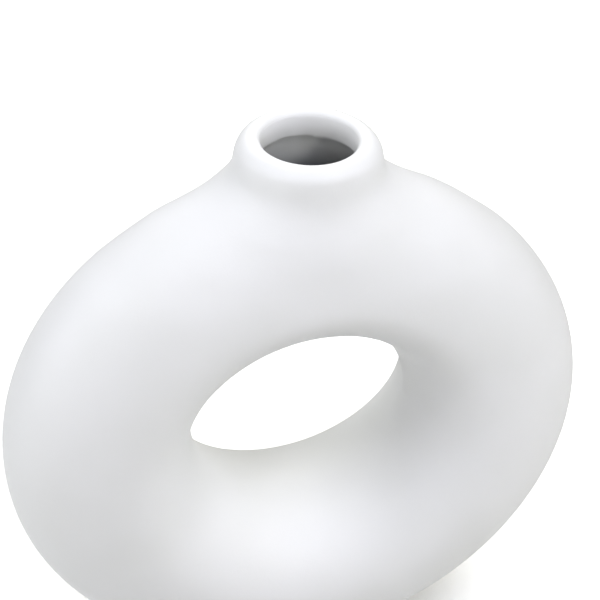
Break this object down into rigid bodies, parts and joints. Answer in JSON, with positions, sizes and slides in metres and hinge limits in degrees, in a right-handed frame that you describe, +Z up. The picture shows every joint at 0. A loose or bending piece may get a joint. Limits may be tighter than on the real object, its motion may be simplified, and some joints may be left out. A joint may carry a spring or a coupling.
{
  "type": "donut vase",
  "caption": "Hollow ring-shaped flower vase that stands on edge, with a round hole through it, a flat oval foot and a short flared neck with a rolled lip.",
  "frame": {"origin": "bottom centre of the vase: midway across its width and depth, at the height of the surface it stands on, which is the underside of the pads", "axes": "+Z up through the neck and out of the mouth, X across the ring, Y along the hole through the ring, front towards -Y"},
  "size_m": [0.2, 0.073, 0.2073],
  "materials": {
    "ceramic": "satin white glaze over fine slip-cast clay, nearly matte, with a few tiny specks; bare and matte under the foot",
    "pad": "soft frosted silicone, matte"
  },
  "bodies": {
    "root": {"vase_body": "ceramic", "foot_pad_front_left": "pad", "foot_pad_front_right": "pad", "foot_pad_back_left": "pad", "foot_pad_back_right": "pad"}
  },
  "joints": []
}
